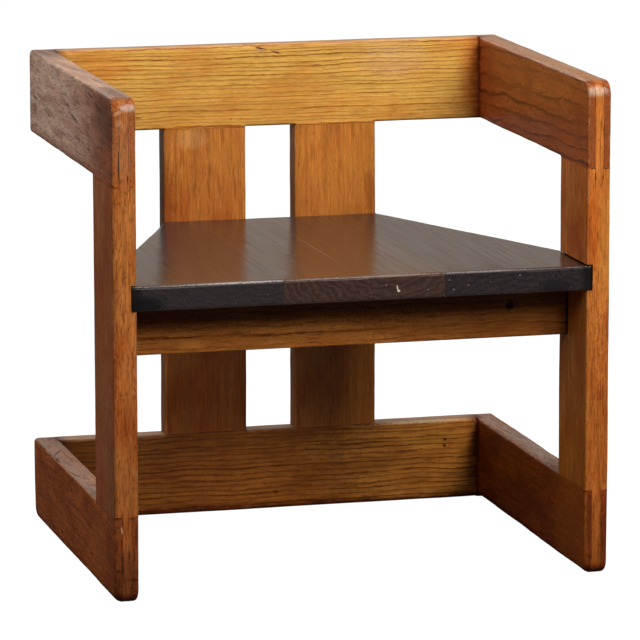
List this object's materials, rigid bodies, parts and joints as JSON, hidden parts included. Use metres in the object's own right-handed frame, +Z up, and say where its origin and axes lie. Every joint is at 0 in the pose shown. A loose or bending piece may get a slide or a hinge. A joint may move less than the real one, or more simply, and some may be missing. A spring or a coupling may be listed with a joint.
{
  "type": "child chair",
  "caption": "Low child's armchair: open U-shaped wooden frames above and below, bridle-jointed posts, upright back slats and a dark tapered seat.",
  "frame": {"origin": "middle of the footprint, on the floor", "axes": "+X to the right seen from the front, the sitter looks towards -Y, +Z up"},
  "size_m": [0.5, 0.397, 0.494],
  "materials": {
    "frame_pine": "aged oiled softwood with strong growth rings, satin",
    "cleat_pine": "planed softwood, unfinished",
    "seat_stained_wood": "dark stained wood, satin lacquer",
    "beech_dowel": "turned beech",
    "screw_steel": "bright zinc-plated steel"
  },
  "bodies": {
    "root": {"upper_back_rail": "frame_pine", "lower_back_rail": "frame_pine", "left_arm": "frame_pine", "right_arm": "frame_pine", "left_runner": "frame_pine", "right_runner": "frame_pine", "left_front_post": "frame_pine", "right_front_post": "frame_pine", "left_back_slat": "frame_pine", "right_back_slat": "frame_pine", "front_apron": "frame_pine", "rear_seat_cleat": "cleat_pine", "seat_board_left": "seat_stained_wood", "seat_board_middle": "seat_stained_wood", "seat_board_right": "seat_stained_wood", "corner_dowels": "beech_dowel", "slat_dowels": "beech_dowel", "apron_dowels": "beech_dowel", "seat_edge_dowels": "beech_dowel", "slat_screws": "screw_steel", "cleat_screws": "screw_steel", "apron_screws": "screw_steel"}
  },
  "joints": []
}
